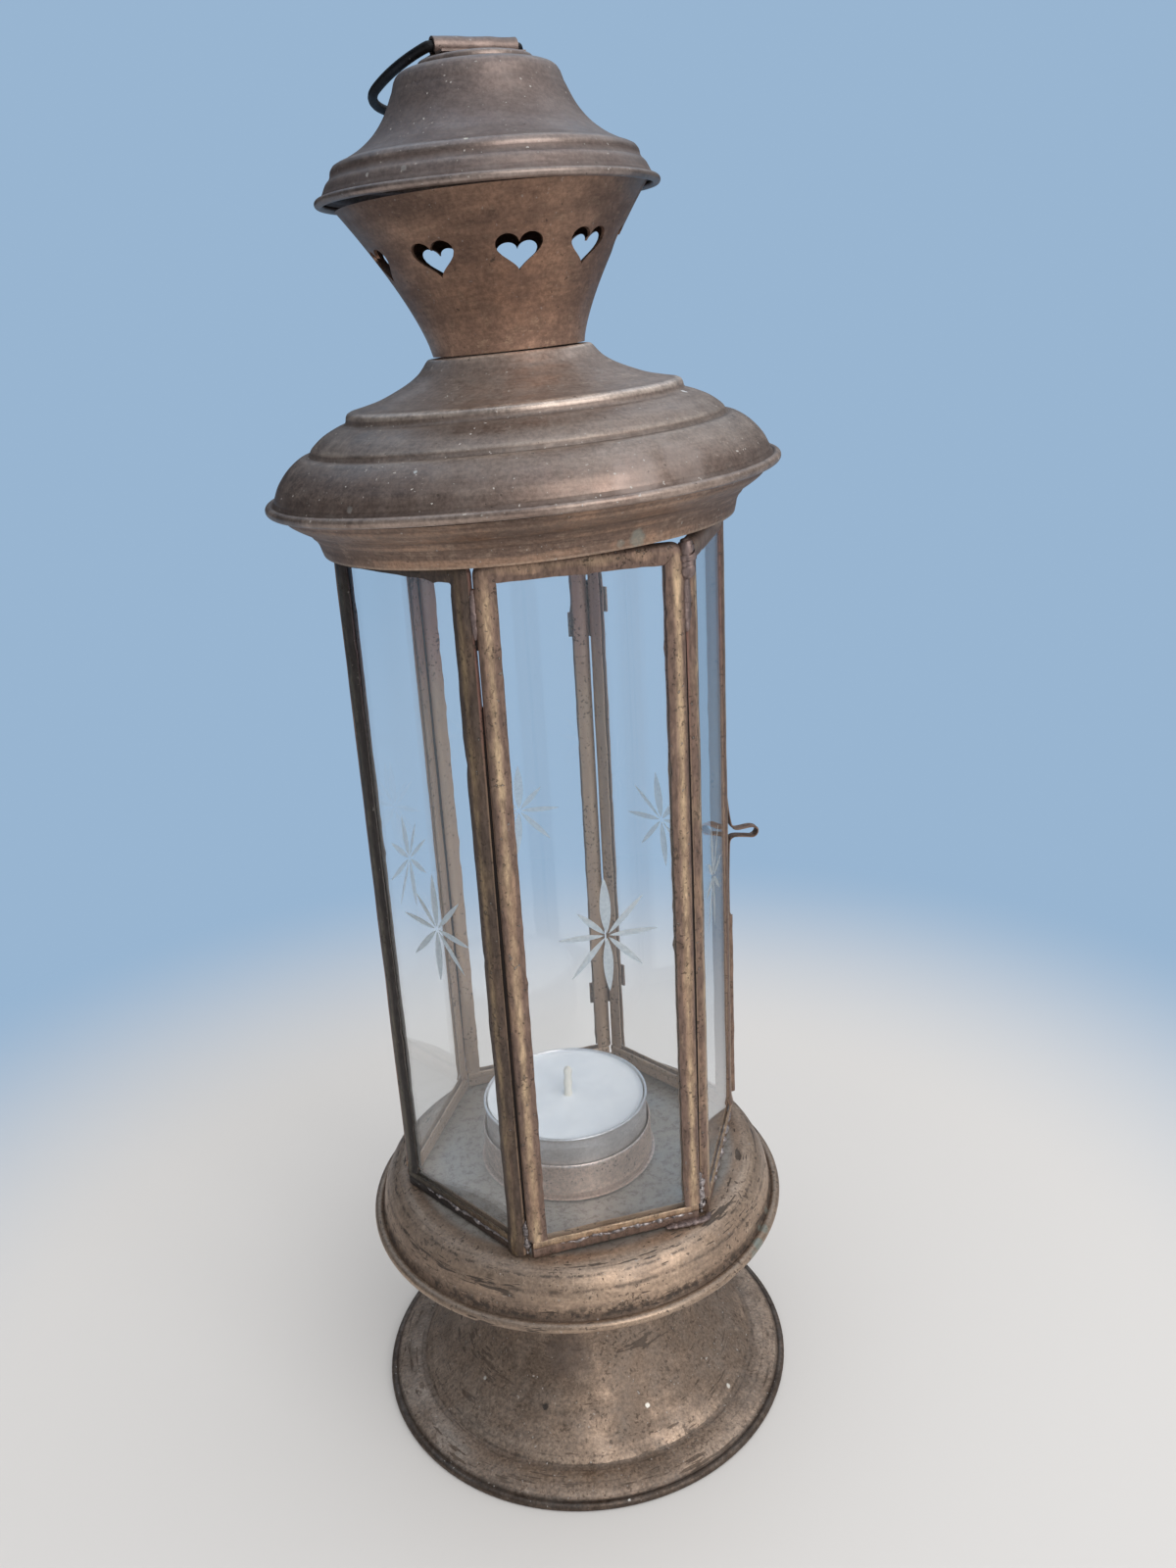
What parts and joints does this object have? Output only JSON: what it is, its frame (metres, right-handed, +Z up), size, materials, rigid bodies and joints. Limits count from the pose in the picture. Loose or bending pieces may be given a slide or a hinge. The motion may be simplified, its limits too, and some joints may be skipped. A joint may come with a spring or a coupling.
{
  "type": "candle lantern",
  "caption": "Six-sided brass candle lantern: spun foot and dish, glazed panels with a hinged door and strip latch, two-shell roof, pierced chimney neck, bell cap and wire bail.",
  "frame": {"origin": "on the lantern's axis at the bottom of the foot", "axes": "+Z up along the axis of the foot, dish and panels; -Y out through the front panel; +X towards the corner that carries the latch"},
  "size_m": [0.1045, 0.1038, 0.3039],
  "materials": {
    "base_brass": "aged, brown patina, satin",
    "dark_brass": "aged, dark brown patina",
    "roof_brass": "aged, grey-brown patina, satin",
    "frame_brass": "aged, golden brown",
    "clear_glass": "clear, slightly dusty",
    "dark_wire": "blackened",
    "aluminium": "thin pressed foil",
    "wax": "smooth white wax",
    "wick": "braided cotton"
  },
  "bodies": {
    "lantern": {"foot_shell": "base_brass", "dish_shell": "base_brass", "candle_socket": "dark_brass", "front_came": "frame_brass", "front_bottom_rail": "frame_brass", "front_glass": "clear_glass", "right_came": "frame_brass", "right_bottom_rail": "frame_brass", "right_glass": "clear_glass", "back_came": "frame_brass", "back_bottom_rail": "frame_brass", "back_glass": "clear_glass", "back_left_came": "frame_brass", "back_left_bottom_rail": "frame_brass", "back_left_glass": "clear_glass", "left_came": "frame_brass", "left_bottom_rail": "frame_brass", "left_glass": "clear_glass", "hinge_upper_fixed": "frame_brass", "hinge_upper_pin": "dark_wire", "hinge_lower_fixed": "frame_brass", "hinge_lower_pin": "dark_wire", "roof_seat_ring": "dark_brass", "roof_skirt": "dark_brass", "dome_shell": "roof_brass", "chimney_neck": "dark_brass", "cap_shell": "roof_brass", "cap_boss": "roof_brass", "handle_strap": "roof_brass"},
    "door": {"door_came": "frame_brass", "door_bottom_rail": "frame_brass", "door_glass": "clear_glass", "hinge_upper_door": "frame_brass", "hinge_lower_door": "frame_brass", "door_sleeve_upper": "frame_brass", "door_sleeve_lower": "frame_brass"},
    "latch": {"latch_strip": "frame_brass"},
    "bail": {"bail_wire": "dark_wire"},
    "tealight": {"tealight_cup": "aluminium", "tealight_sustainer": "aluminium", "tealight_wax": "wax", "tealight_wick": "wick"}
  },
  "joints": [
    {"name": "door_hinge", "type": "hinge", "parent": "lantern", "child": "door", "pos_m": [0.02101, 0.03639, 0.14], "axis": [0, 0, 1], "range_deg": [0, 120]},
    {"name": "latch_flex", "type": "hinge", "parent": "door", "child": "latch", "pos_m": [0.04153, 0.0016, 0.161], "axis": [0, -1, 0], "range_deg": [0, 5], "stiffness_Nm_per_rad": 0.02},
    {"name": "bail_swing", "type": "hinge", "parent": "lantern", "child": "bail", "pos_m": [-0.00493, 0.00114, 0.30204], "axis": [0.9779, 0.208, 0.0221], "range_deg": [0, 201]},
    {"name": "tealight_lift", "type": "slide", "parent": "lantern", "child": "tealight", "axis": [0, 0, 1], "range_m": [0, 0.025]}
  ]
}
